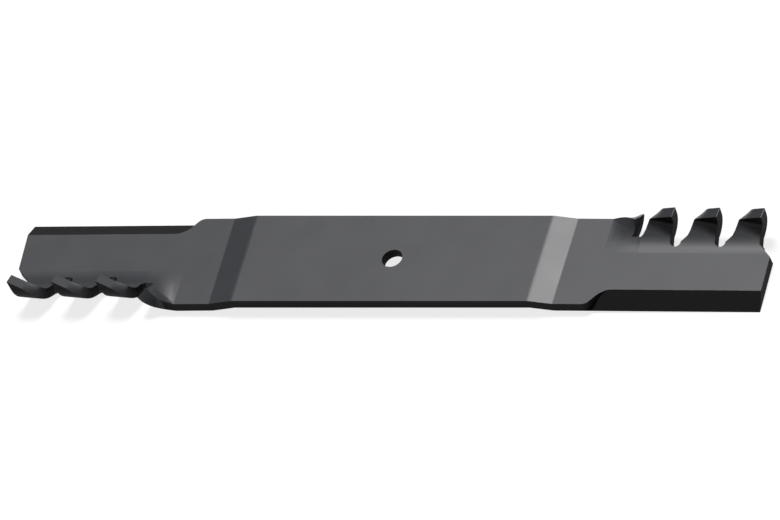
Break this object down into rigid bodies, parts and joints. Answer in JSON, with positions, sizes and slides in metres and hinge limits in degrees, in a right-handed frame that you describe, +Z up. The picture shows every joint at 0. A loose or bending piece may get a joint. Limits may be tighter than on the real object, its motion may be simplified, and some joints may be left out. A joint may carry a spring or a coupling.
{
  "type": "rotary mower blade",
  "caption": "Rotary mower blade with a flat hub, a spindle hole, ground leading edges and lifted, toothed trailing edges that raise and shred the grass.",
  "frame": {"origin": "centre of the spindle hole in the underside of the flat hub", "axes": "+Z up along the spindle, +X along the blade, +Y across it"},
  "size_m": [0.4758, 0.0666, 0.0237],
  "materials": {
    "coated_steel": "satin dark grey coating on steel"
  },
  "bodies": {
    "root": {"mower_blade": "coated_steel"}
  },
  "joints": []
}
